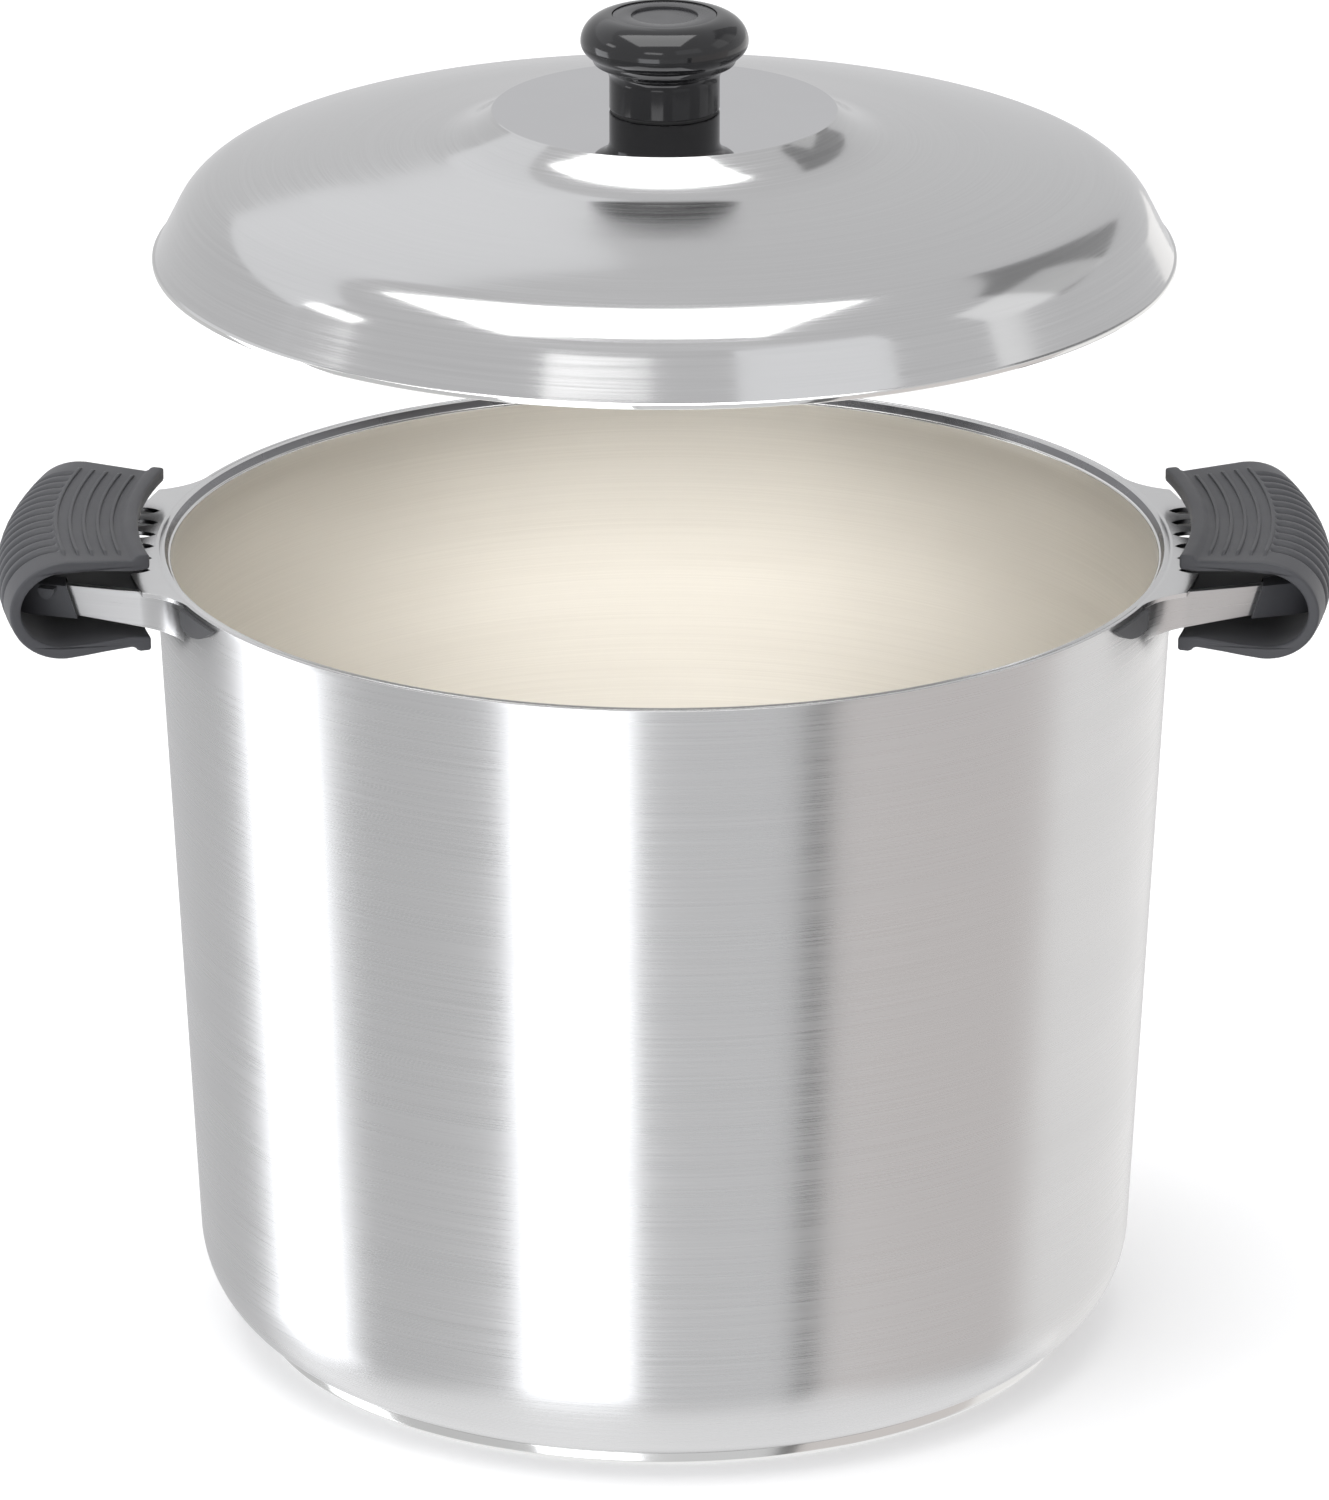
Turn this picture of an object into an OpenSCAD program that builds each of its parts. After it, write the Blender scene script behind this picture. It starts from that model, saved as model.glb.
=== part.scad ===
// Stockpot-style pressure canner: a tapered steel pot with a stepped rim, a domed lid that
// lifts straight off, two band handles with silicone grips, and a rack for the jars.
// Millimetres, +Z up, the handles along X. The origin is the middle of the base, on the ground.

/* [Pot] */
// Outside diameter of the rim
rim_d = 329; // [325:0.5:333]
// Height of the rim above the ground
pot_h = 266; // [240:1:280]
// Lean of the wall from vertical, in degrees
wall_slope = 2.77; // [2:0.01:3]
// Thickness of the wall and floor
wall_t = 2; // [1.5:0.1:2.5]
// Outside radius of the corner between wall and base
corner_r = 34; // [32:0.5:38]
// Width of the rim's flat top, which carries the lid
rim_flat = 3.3; // [3:0.1:3.6]
// Width of the steep step inside the flat top
step_w = 1.1; // [0.8:0.1:1.4]
// Fall of that step
step_drop = 2.1; // [1.5:0.1:2.5]

/* [Base] */
// Outside diameter of the base cap
base_d = 269; // [264:0.5:272]
// Height of the base cap's edge
base_h = 4.3; // [3.5:0.1:5]
// Thickness of the base cap's sheet
cap_t = 0.8; // [0.6:0.1:1]

/* [Lid] */
// Outside diameter of the lid's edge
lid_d = 326.8; // [326:0.1:327]
// Height of the centre disc above the lid's edge
disc_h = 48; // [46:0.5:50]
// Diameter of the flat centre disc
disc_d = 110; // [104:1:114]
// Thickness of the lid
lid_t = 1; // [0.8:0.1:1.2]
// Slope of the crown beside the flare, in degrees
crown_slope = 6.5; // [5.5:0.1:7]
// How far the lid is held above the rim
lid_lift = 96.3; // [60:0.1:120]

/* [Knob] */
// Diameter of the knob's head
knob_d = 53.4; // [50:0.2:56]
// Height of the knob
knob_h = 30.6; // [30:0.2:33]
// Diameter of the knob's stem
stem_d = 35.2; // [33:0.2:36]

/* [Handles] */
// Thickness of the handle band
band_t = 2.5; // [2:0.1:3]
// Height of the handle band where it meets the wall
band_h = 12.6; // [11:0.2:13]
// Radius about the pot's axis of the band's outer bar
bar_r = 206; // [205:0.5:207]
// Slant of the handle's arms from the X axis, in degrees
arm_slant = 16.5; // [16:0.1:17]
// Reach of the grip's nose from the pot's axis
nose_r = 215.3; // [214.5:0.1:216]
// Half of the angle that the grip covers
grip_half_angle = 15.3; // [15:0.1:16]
// Height of the grip
grip_h = 32; // [31:0.5:34]
// Thickness of the grip's wall
grip_t = 3.6; // [3:0.1:4]

/* [Rack] */
// Diameter of the jar rack
rack_d = 276; // [260:1:282]
// Height of the rack's feet
foot_h = 18; // [12:1:22]

/* [Hidden] */
// The separate pieces that this part is made of
$fn = 96;
// How far a cutting shape runs past what it cuts
over = 1;

// Pot
rim_r = rim_d / 2;
step_r = rim_r - rim_flat - step_w;
step_z = pot_h - step_drop;
rim_round = 0.8;
rim_taper = 7;
floor_z = base_h + wall_t;
function wall_r(z) = rim_r - (pot_h - z) * tan(wall_slope);
// The corner's arc touches the wall and ends on the base cap's edge
seam_r = base_d / 2;
foot_of_wall = wall_r(0) - corner_r / cos(wall_slope);
seam_in = seam_r - foot_of_wall;
half_b = seam_in * tan(wall_slope) + base_h;
quad_a = 1 + pow(tan(wall_slope), 2);
quad_c = seam_in * seam_in + base_h * base_h - corner_r * corner_r;
corner_z = (half_b + sqrt(half_b * half_b - quad_a * quad_c)) / quad_a;
corner_x = foot_of_wall + corner_z * tan(wall_slope);
corner_steps = 14;

// Rim plates over the handles
plate_t = 1.5;
plate_r = rim_r + 9.5;
plate_half_w = 51;
plate_drop = 0.05;
flare_r = 26;
notch_x = rim_r + 0.3;
notch_w = 6.4;
notch_pitch = 12;
notch_count = 6;

// Lid
lid_r = lid_d / 2;
lid_gap = 0.1;
edge_cut = 0.3;
lid_seat_z = pot_h + lid_gap;
lid_z = lid_seat_z + lid_lift;
edge_h = 1.6;
edge_w = 1.6;
edge_out = 0.4;
skirt_angle = 64.5;
// The flare round the disc: how far out it runs and how far it falls
flare_run = 19;
flare_fall = 9.8;
flare_end_r = disc_d / 2 + flare_run;
flare_end_z = disc_h - flare_fall;
// The crown: an even slope, then an arc that steepens to the shoulder
cone_end_r = 100;
cone_end_z = flare_end_z - (cone_end_r - flare_end_r) * tan(crown_slope);
crown_end_r = 141;
shoulder_slope = 15.9;
crown_r = (crown_end_r - cone_end_r) / (sin(shoulder_slope) - sin(crown_slope));
crown_x = cone_end_r - crown_r * sin(crown_slope);
crown_z = cone_end_z - crown_r * cos(crown_slope);
// The last arc starts this many degrees after the one before it ends
bend_skip = 5;
disc_edge_in = 0.6;
hole_r = 2.8;

// Knob and its screw, stacked on the centre disc
gasket_t = 0.6;
gasket_r = 17;
insert_r = 4;
insert_h = 12;
insert_gap = 0.2;
screw_r = 2.48;
thread_r = 2.5;
washer_t = 1;
lock_t = 1.1;
head_r = 4.7;
head_h = 3.4;
slot_l = 6;
slot_w = 1;
slot_depth = 1.8;
thread_gap = 1;
washer_r = 6;
lock_r = 4.5;
lock_hole_r = 2.6;
lock_split = 0.8;
recess_r = 16.7;
recess_h = 1.2;
cap_gap = 0.3;
cap_dish_r = 10.6;
cap_dish = 0.5;
// The head's rounded edge: how wide it is, and how far it runs up and down from its widest
head_w = 9.8;
head_up = 8.7;
head_down = 6.5;
// Neck under the head, as steps out from the stem and down from the widest
neck = [[0, 11.7], [0.5, 10.4], [1.6, 9.2], [5, 6.3]];
neck_angle = 54.4;
head_steps = 8;

// Handle bands
arm_offset = 92.7;
bar_bend_r = 14;
root_fillet_r = 22;
band_top = pot_h - plate_t;
band_end_h = 9.8;
// The lower edge starts to rise this far inside the rim, and rises over this length
fall_start = 8;
fall_run = 34;
band_fall = atan((band_h - band_end_h) / fall_run);
band_root = 0.75;
filler_run = 12;
// A block larger than the whole handle
block = 200;
sleeve_t = 1.8;
sleeve_h = 12.6;
sleeve_over = 1.2;
sleeve_x = 187;
sleeve_slant = 17.5;
fit = 0.03;
window_x = 194;
window_r = 2.1;
window_drop = 2.2;
window_out = 36;
window_l = 8;

// Grips
grip_top = pot_h + 10;
grip_mid = grip_top - grip_h / 2;
nose_w = 18.3;
lip_r = rim_r + 5.2;
lip_w = 4.5;
lip_dip = 1.5;
lip_run = 1.2;
mouth_drop = 1.2;
mouth_run = 1.8;
flap_end = 6;
nose_gap = 0.5;
ridge_w = 1.1;
ridge_pitch = 4.45;
ridge_count = 5;
ridge_start = 4;
ridge_rise = 0.02;
ridge_end_angle = 1.2;
nose_steps = 16;

// Pads beside the band roots
pad_angle = 24.5;
pad_from = 22.4;
pad_to = 33;
pad_half_l = 19;
pad_depth = 7;
pad_proud = 1.6;
pad_drop = 0.2;
skin = 0.05;

// Rack
rack_gap = 0.1;
rack_t = 1.5;
rack_z = floor_z + rack_gap + foot_h;
rack_lip_h = 5;
foot_r = 5;
foot_ring_r = 120;
foot_count = 6;
rivet_r = 3;
rivet_h = 1;
centre_hole_r = 15;
vent_r = 7;
// Each ring of vents, as its radius and its count
vents = [[52, 8], [86, 14], [120, 18]];

// Points along an arc in the plane
function arc(x, y, r, from, to, steps) =
    [for (i = [0:steps]) let (a = from + (to - from) * i / steps) [x + r * cos(a), y + r * sin(a)]];

// The lid's outer outline from the centre disc's edge to the lid's edge, moved inwards by g
function lid_outline(g) =
    let (s0 = crown_slope,
         s1 = shoulder_slope,
         flare = (pow(flare_run, 2) + pow(flare_fall, 2)) /
                 (2 * (flare_fall * cos(s0) - flare_run * sin(s0))),
         flare_x = flare_end_r + flare * sin(s0),
         flare_z = flare_end_z + flare * cos(s0),
         flare_a = atan2(disc_h - flare_z, disc_d / 2 - flare_x),
         crown_end_z = crown_z + crown_r * cos(s1),
         k = tan(skirt_angle),
         reach = lid_r - edge_out - crown_end_r,
         bend = (reach * k - crown_end_z) /
                (k * (sin(skirt_angle) - sin(s1)) - (cos(s1) - cos(skirt_angle))),
         bend_x = crown_end_r - bend * sin(s1),
         bend_z = crown_end_z - bend * cos(s1))
    concat(arc(flare_x, flare_z, flare + g, flare_a, -90 - s0, 8),
           arc(crown_x, crown_z, crown_r - g, 90 - s0, 90 - s1, 5),
           arc(bend_x, bend_z, bend - g, 90 - s1 - bend_skip, 90 - skirt_angle, 10));

// One end of the pot's revolved outline, from the floor round the corner to the rim
module pot_outline() {
    a0 = atan2(base_h - corner_z, seam_r - corner_x);
    in_r = corner_r - wall_t;
    a1 = asin((floor_z - corner_z) / in_r);
    face_r = step_r - rim_round;
    polygon(concat(
        [[0, base_h]],
        arc(corner_x, corner_z, corner_r, a0, -wall_slope, corner_steps),
        [[rim_r, pot_h], [rim_r - rim_flat, pot_h]],
        arc(step_r, step_z - rim_round, rim_round, 90, 180, 4),
        [[face_r, pot_h - rim_taper],
         [wall_r(pot_h - 2 * rim_taper) - wall_t, pot_h - 2 * rim_taper]],
        arc(corner_x, corner_z, in_r, -wall_slope, a1, corner_steps),
        [[0, floor_z]]));
}

// The flared plate on the +X side of the rim, with its notches
module plate_plan() {
    reach = rim_r + flare_r - 0.2;
    flare_y = plate_half_w + flare_r;
    flare_x = sqrt(reach * reach - flare_y * flare_y);
    touch_y = flare_y * rim_r / (rim_r + flare_r);
    difference() {
        intersection() {
            circle(r = plate_r);
            translate([rim_r / 2, -touch_y]) square([rim_r, 2 * touch_y]);
        }
        circle(r = rim_r - rim_flat / 2);
        for (side = [-1, 1]) translate([flare_x, side * flare_y]) circle(r = flare_r);
        for (i = [0:notch_count - 1])
            translate([notch_x, (i - (notch_count - 1) / 2) * notch_pitch]) notch_plan();
    }
}

// A notch with a pointed inner end
module notch_plan() {
    point = notch_w * 0.9;
    round_r = (point * point + pow(notch_w / 2, 2)) / notch_w;
    intersection() {
        translate([point, round_r - notch_w / 2]) circle(r = round_r);
        translate([point, notch_w / 2 - round_r]) circle(r = round_r);
        square([2 * point, 2 * notch_w], center = true);
        translate([0, -notch_w]) square([point, 2 * notch_w]);
    }
    translate([point - 0.01, -notch_w / 2]) square([plate_r, notch_w]);
}

module pot_shell() {
    color("lightgray") union() {
        rotate_extrude() pot_outline();
        for (turn = [0, 180]) rotate([0, 0, turn])
            translate([0, 0, pot_h - plate_t])
                linear_extrude(height = plate_t - plate_drop) plate_plan();
    }
}

module base_core() {
    color("silver") translate([0, 0, cap_t])
        cylinder(r = seam_r - cap_t, h = base_h - cap_t);
}

module base_cap() {
    round_r = 1.4;
    color("lightgray") rotate_extrude() polygon(concat(
        [[0, 0]],
        arc(seam_r - round_r, round_r, round_r, -90, 0, 5),
        [[seam_r, base_h], [seam_r - cap_t, base_h], [seam_r - cap_t, cap_t], [0, cap_t]]));
}

// Outside of the handle's U in plan, for the +X side, moved inwards by g
function arm_normal() = [sin(arm_slant), cos(arm_slant)];
function arm_along() = [cos(arm_slant), -sin(arm_slant)];
function band_outline(g, bar) =
    let (line = arm_offset - g,
         bend = bar_bend_r - g,
         far = bar - g - bend,
         t = sqrt(far * far - (line - bend) * (line - bend)),
         c = (line - bend) * arm_normal() + t * arm_along(),
         root = line * arm_normal() + band_root * t * arm_along(),
         bar_a = atan2(c[1], c[0]),
         corner = arc(c[0], c[1], bend, 90 - arm_slant, bar_a, 6),
         bar_pts = arc(0, 0, bar - g, bar_a, 0, 6),
         half = concat([root], corner, [for (i = [1:6]) bar_pts[i]]))
    concat(half, [for (i = [len(half) - 2:-1:0]) [half[i][0], -half[i][1]]]);

// Filler between an arm's outer face and the wall, with a true round fillet
module root_filler(side) {
    reach = wall_r(band_top) + root_fillet_r - skin;
    off = arm_offset + root_fillet_r - skin;
    t = sqrt(reach * reach - off * off);
    c = off * arm_normal() + t * arm_along();
    in_arm = c - (root_fillet_r + band_t / 2) * arm_normal();
    in_wall = c * (step_r / reach);
    mirror([0, side < 0 ? 1 : 0]) difference() {
        polygon([in_arm, c, in_wall, in_arm - filler_run * arm_along()]);
        translate(c) circle(r = root_fillet_r);
    }
}

// The bare band, grown by g; its lower edge rises towards the bar
module band(g) {
    difference() {
        translate([0, 0, band_top - band_h - g]) linear_extrude(height = band_h + 2 * g)
            difference() {
                polygon(band_outline(-g, bar_r));
                polygon(band_outline(band_t + g, bar_r));
            }
        band_underside(g);
    }
}

module band_underside(g) {
    translate([rim_r - fall_start, -block / 2, band_top - band_h - g])
        rotate([0, -band_fall, 0]) translate([-fall_run, 0, -block]) cube(block);
}

module strap() {
    color("silver") difference() {
        union() {
            band(0);
            for (side = [-1, 1]) difference() {
                translate([0, 0, band_top - band_h]) linear_extrude(height = band_h)
                    root_filler(side);
                band_underside(0);
            }
        }
        wall_cone(skin, band_top - band_h - 3, band_top + 1);
    }
}

// The pot's outside as a solid cone, grown by g
module wall_cone(g, low, high) {
    translate([0, 0, low])
        cylinder(r1 = wall_r(low) + g, r2 = wall_r(high) + g, h = high - low);
}

module strap_left() { rotate([0, 0, 180]) strap(); }
module strap_right() { strap(); }

// Half outlines of the grip's section, as distance from the axis and from its middle height
function grip_outer() =
    let (c = nose_r - nose_w, h = grip_h / 2)
    concat([[lip_r, h], [lip_r + lip_w, h], [lip_r + lip_w + lip_run, h - lip_dip],
            [c - flap_end, h - 0.1]],
           [for (i = [0:nose_steps / 2]) let (a = 90 - 180 * i / nose_steps)
               [c + nose_w * cos(a), h * sin(a)]]);
function grip_inner() =
    let (c = nose_r - nose_w, h = grip_h / 2 - grip_t)
    concat([[lip_r, h - mouth_drop], [lip_r + lip_w + mouth_run, h - 1.4],
            [c - flap_end - 1, h - 0.1]],
           [for (i = [0:nose_steps / 2]) let (a = 90 - 180 * i / nose_steps)
               [c + (nose_w - grip_t) * cos(a), h * sin(a)]]);
function both(half) =
    concat(half, [for (i = [len(half) - 1:-1:0]) if (abs(half[i][1]) > 0.001)
        [half[i][0], -half[i][1]]]);

module grip_section() {
    inner = both(grip_inner());
    polygon(concat(both(grip_outer()), [for (i = [len(inner) - 1:-1:0]) inner[i]]));
}

module grip() {
    turn = grip_half_angle;
    ridge_turn = turn - ridge_end_angle;
    first_ridge = lip_r + lip_w + ridge_start - ridge_w / 2;
    ridge_low = (grip_h - grip_t) / 2;
    color([0.3, 0.31, 0.33]) difference() {
        union() {
            rotate([0, 0, -turn]) rotate_extrude(angle = 2 * turn)
                translate([0, grip_mid]) grip_section();
            // Raised ridges across the top
            for (i = [0:ridge_count - 1])
                let (ridge_top = grip_h / 2 + ridge_rise * i)
                rotate([0, 0, -ridge_turn]) rotate_extrude(angle = 2 * ridge_turn)
                    translate([first_ridge + i * ridge_pitch, grip_mid + ridge_low])
                        square([ridge_w, ridge_top - ridge_low]);
            // Sleeve round the band's bar, joined to the nose
            intersection() {
                translate([0, 0, band_top + sleeve_over - sleeve_h])
                    linear_extrude(height = sleeve_h) difference() {
                        polygon(band_outline(-sleeve_t, nose_r - grip_t - nose_gap));
                        polygon(band_outline(band_t + sleeve_t, bar_r));
                    }
                translate([sleeve_x, -block / 2, band_top + sleeve_over - sleeve_h])
                    rotate([0, sleeve_slant, 0]) cube(block);
            }
        }
        band(fit);
        // Moulding window that shows the band
        translate([window_x, window_out, band_top - window_drop]) rotate([-90, 0, 0])
            cylinder(r = window_r, h = window_l);
    }
}

module grip_left() { rotate([0, 0, 180]) grip(); }
module grip_right() { grip(); }

// Lens-shaped pad against the wall, just under the rim, cut off square beside the +X, +Y root
module pad() {
    round_r = (pad_half_l * pad_half_l + pad_depth * pad_depth) / (2 * pad_depth);
    low = band_top - pad_depth - over;
    high = band_top - pad_drop;
    color([0.26, 0.27, 0.29]) intersection() {
        rotate([0, 0, pad_from]) rotate_extrude(angle = pad_to - pad_from) polygon([
            [wall_r(low) + skin, low], [wall_r(low) + pad_proud, low],
            [wall_r(high) + pad_proud, high], [wall_r(high) + skin, high]]);
        rotate([0, 0, pad_angle]) translate([rim_r / 2, 0, band_top - pad_depth + round_r])
            rotate([90, 0, 90]) cylinder(r = round_r, h = rim_r);
    }
}

module pad_right_back() { pad(); }
module pad_right_front() { mirror([0, 1, 0]) pad(); }
module pad_left_front() { rotate([0, 0, 180]) pad(); }
module pad_left_back() { rotate([0, 0, 180]) mirror([0, 1, 0]) pad(); }

module lid_shell() {
    outer = lid_outline(0);
    inner = lid_outline(lid_t);
    outside = [[0, disc_h], [disc_d / 2, disc_h]];
    edge = [[lid_r - edge_out, edge_h], [lid_r, edge_h], [lid_r, edge_cut], [lid_r - edge_cut, 0],
            [lid_r - edge_w, 0], [lid_r - edge_w, edge_h]];
    back = [for (i = [len(inner) - 1:-1:1]) inner[i]];
    color("silver") translate([0, 0, lid_z]) difference() {
        rotate_extrude() polygon(concat(
            outside, [for (i = [1:len(outer) - 1]) outer[i]], edge, back,
            [[disc_d / 2 - disc_edge_in, disc_h - lid_t], [0, disc_h - lid_t]]));
        translate([0, 0, disc_h - lid_t - over]) cylinder(r = hole_r, h = lid_t + 2 * over);
    }
}

module on_disc(h) { translate([0, 0, lid_z + disc_h + h]) children(); }

module knob() {
    stem_r = stem_d / 2;
    head_x = knob_d / 2 - head_w;
    widest = knob_h - head_up;
    color([0.12, 0.12, 0.13]) on_disc(gasket_t) difference() {
        rotate_extrude() polygon(concat(
            [[0, 0], [stem_r, 0]],
            [for (step = neck) [stem_r + step[0], widest - step[1]]],
            [for (i = [0:head_steps]) let (a = -neck_angle * (1 - i / head_steps))
                [head_x + head_w * cos(a), widest + head_down * sin(a)]],
            [for (i = [1:head_steps]) let (a = 90 * i / head_steps)
                [head_x + head_w * cos(a), widest + head_up * sin(a)]],
            [[0, knob_h]]));
        translate([0, 0, knob_h - recess_h]) cylinder(r = recess_r, h = 2 * recess_h);
        translate([0, 0, -over]) cylinder(r = insert_r, h = insert_h + insert_gap + over);
    }
}

module knob_cap() {
    color([0.1, 0.1, 0.11]) on_disc(gasket_t + knob_h - recess_h) difference() {
        cylinder(r = recess_r, h = recess_h - cap_gap);
        translate([0, 0, recess_h - cap_gap - cap_dish]) cylinder(r = cap_dish_r, h = over);
    }
}

module knob_insert() {
    color("gold") on_disc(gasket_t) difference() {
        cylinder(r = insert_r, h = insert_h);
        translate([0, 0, -over]) cylinder(r = thread_r, h = insert_h + 2 * over);
    }
}

module knob_gasket() {
    color("black") on_disc(0) difference() {
        cylinder(r = gasket_r, h = gasket_t);
        translate([0, 0, -over]) cylinder(r = hole_r, h = gasket_t + 2 * over);
    }
}

module knob_washer() {
    color("silver") on_disc(-lid_t - washer_t) difference() {
        cylinder(r = washer_r, h = washer_t);
        translate([0, 0, -over]) cylinder(r = hole_r, h = washer_t + 2 * over);
    }
}

// Split spring washer
module knob_lock_washer() {
    color("gray") on_disc(-lid_t - washer_t - lock_t) difference() {
        cylinder(r = lock_r, h = lock_t);
        translate([0, 0, -over]) cylinder(r = lock_hole_r, h = lock_t + 2 * over);
        translate([0, -lock_split / 2, -over]) cube([2 * lock_r, lock_split, lock_t + 2 * over]);
    }
}

module knob_screw() {
    below = lid_t + washer_t + lock_t;
    color("gray") on_disc(-below) {
        cylinder(r = screw_r, h = below + gasket_t + insert_h - thread_gap);
        translate([0, 0, -head_h]) difference() {
            cylinder(r = head_r, h = head_h);
            for (turn = [0, 90]) rotate([0, 0, turn])
                translate([-slot_l / 2, -slot_w / 2, -over]) cube([slot_l, slot_w, slot_depth + over]);
        }
    }
}

module rack_plate() {
    rack_r = rack_d / 2;
    cut_h = rack_t + 2 * over;
    color("silver") translate([0, 0, rack_z]) difference() {
        union() {
            cylinder(r = rack_r, h = rack_t);
            translate([0, 0, rack_t - rack_lip_h]) difference() {
                cylinder(r = rack_r, h = rack_lip_h);
                translate([0, 0, -over])
                    cylinder(r = rack_r - rack_t, h = rack_lip_h + 2 * over);
            }
        }
        translate([0, 0, -over]) cylinder(r = centre_hole_r, h = cut_h);
        // The outer ring leaves out the places of the feet
        for (ring = vents) for (i = [0:ring[1] - 1])
            if (ring[0] < foot_ring_r || i % 3 != 0)
                rotate([0, 0, 360 * i / ring[1]])
                    translate([ring[0], 0, -over]) cylinder(r = vent_r, h = cut_h);
        for (i = [0:foot_count - 1]) rotate([0, 0, 360 * i / foot_count])
            translate([foot_ring_r, 0, -over]) cylinder(r = rivet_r, h = cut_h);
    }
}

// Six feet, each with a rivet end through the rack's plate
module rack_feet() {
    color("gray") for (i = [0:foot_count - 1]) rotate([0, 0, 360 * i / foot_count])
        translate([foot_ring_r, 0, rack_z - foot_h]) {
            cylinder(r = foot_r, h = foot_h);
            cylinder(r = rivet_r, h = foot_h + rack_t);
            translate([0, 0, foot_h + rack_t]) cylinder(r = foot_r, h = rivet_h);
        }
}

pot_shell();
base_core();
base_cap();
strap_left();
strap_right();
grip_left();
grip_right();
pad_left_front();
pad_left_back();
pad_right_front();
pad_right_back();
lid_shell();
knob();
knob_cap();
knob_insert();
knob_screw();
knob_washer();
knob_lock_washer();
knob_gasket();
rack_plate();
rack_feet();
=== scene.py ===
"""Looks for the stockpot-style pressure canner: brushed and polished steel, silicone grips and a
glossy knob. Lengths are in millimetres until a mesh is made. The pot's axis is Z, and the handles
lie along X."""
from math import asin, atan2, cos, degrees, hypot, pi, radians, sin, sqrt, tan

import bmesh
import bpy
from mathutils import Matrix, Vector
from mathutils.geometry import tessellate_polygon

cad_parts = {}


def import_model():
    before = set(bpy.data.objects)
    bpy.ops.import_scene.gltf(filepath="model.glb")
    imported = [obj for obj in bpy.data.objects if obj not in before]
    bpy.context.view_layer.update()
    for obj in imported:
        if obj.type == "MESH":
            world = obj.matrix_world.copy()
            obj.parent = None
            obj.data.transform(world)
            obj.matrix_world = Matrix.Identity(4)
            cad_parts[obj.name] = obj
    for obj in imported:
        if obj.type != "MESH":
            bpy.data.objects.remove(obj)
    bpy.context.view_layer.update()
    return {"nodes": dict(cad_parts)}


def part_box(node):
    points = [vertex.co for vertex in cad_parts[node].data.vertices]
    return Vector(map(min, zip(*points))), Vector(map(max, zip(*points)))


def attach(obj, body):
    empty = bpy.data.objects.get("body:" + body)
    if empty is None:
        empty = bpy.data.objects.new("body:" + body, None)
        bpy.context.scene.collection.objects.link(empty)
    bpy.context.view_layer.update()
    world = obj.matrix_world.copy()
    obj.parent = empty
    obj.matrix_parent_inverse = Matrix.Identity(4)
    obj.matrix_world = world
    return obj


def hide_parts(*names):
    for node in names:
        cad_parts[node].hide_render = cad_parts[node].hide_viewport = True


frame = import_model()

MM = 0.001


def cad_mm(node):
    """A CAD node's lowest and highest corner in millimetres."""
    low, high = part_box(node)
    return [v / MM for v in low], [v / MM for v in high]


# ---------------------------------------------------------------- sizes, from the frame

pot_low, pot_high = cad_mm("pot_shell")
lid_low, lid_high = cad_mm("lid_shell")
knob_low, knob_high = cad_mm("knob")
knob_cap_low, knob_cap_high = cad_mm("knob_cap")
cap_high = cad_mm("base_cap")[1]
strap_high = cad_mm("strap_right")[1]
grip_high = cad_mm("grip_right")[1]

RIM_R = pot_high[1]
POT_H = pot_high[2]
BASE_H = pot_low[2]
BASE_R = cap_high[0]
LID_R = lid_high[0]
LID_Z = lid_low[2]
DISC_Z = lid_high[2]
KNOB_R = knob_high[0]
KNOB_Z = knob_low[2]
KNOB_H = knob_high[2] - knob_low[2]
BAR_R = strap_high[0]
BAND_TOP = strap_high[2]
NOSE_R = grip_high[0]

# The CAD's values that its boxes don't show. Slopes, slants and turns are in degrees.
WALL_SLOPE = 2.77
WALL_T = 2
CORNER_R = 34
RIM_FLAT = 3.3
STEP_W = 1.1
STEP_DROP = 2.1
PLATE_T = 1.5
PLATE_R = RIM_R + 9.5
BAND_T = 2.5
BAND_H = 12.6
BAND_END_H = 9.8
ARM_SLANT = 16.5
ARM_OFFSET = 92.7
BAR_BEND_R = 14
GRIP_TURN = 15.3
GRIP_MID = POT_H - 6
GRIP_HALF_H = 16
GRIP_T = 3.6
DISC_R = 55
LID_T = 1
FLARE_RUN = 19
FLARE_FALL = 9.8
CROWN_SLOPE = 6.5
CONE_END_R = 100
CROWN_END_R = 141
SHOULDER_SLOPE = 15.9
SKIRT_ANGLE = 64.5

TURNS = 360
KNOB_TURNS = 160
SIDES = ((0, "right"), (180, "left"))


# ---------------------------------------------------------------- mesh helpers

def arc(x, y, r, start, end, steps):
    """Points along an arc, with its angles in degrees."""
    angles = [radians(start + (end - start) * i / steps) for i in range(steps + 1)]
    return [(x + r * cos(a), y + r * sin(a)) for a in angles]


def rounded(corners, steps):
    """A closed outline from (x, y, radius) corners, each corner filleted to its radius."""
    points = []
    for i, (x, y, r) in enumerate(corners):
        if r <= 0:
            points.append((x, y))
            continue
        corner = Vector((x, y))
        before = (Vector(corners[i - 1][:2]) - corner).normalized()
        after = (Vector(corners[(i + 1) % len(corners)][:2]) - corner).normalized()
        half = before.angle(after) / 2
        centre = corner + (before + after).normalized() * (r / sin(half))
        first = corner + before * (r / tan(half)) - centre
        last = corner + after * (r / tan(half)) - centre
        turn = first.angle_signed(last)
        for k in range(steps + 1):
            a = -turn * k / steps
            points.append((centre.x + first.x * cos(a) - first.y * sin(a),
                           centre.y + first.x * sin(a) + first.y * cos(a)))
    return points


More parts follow.
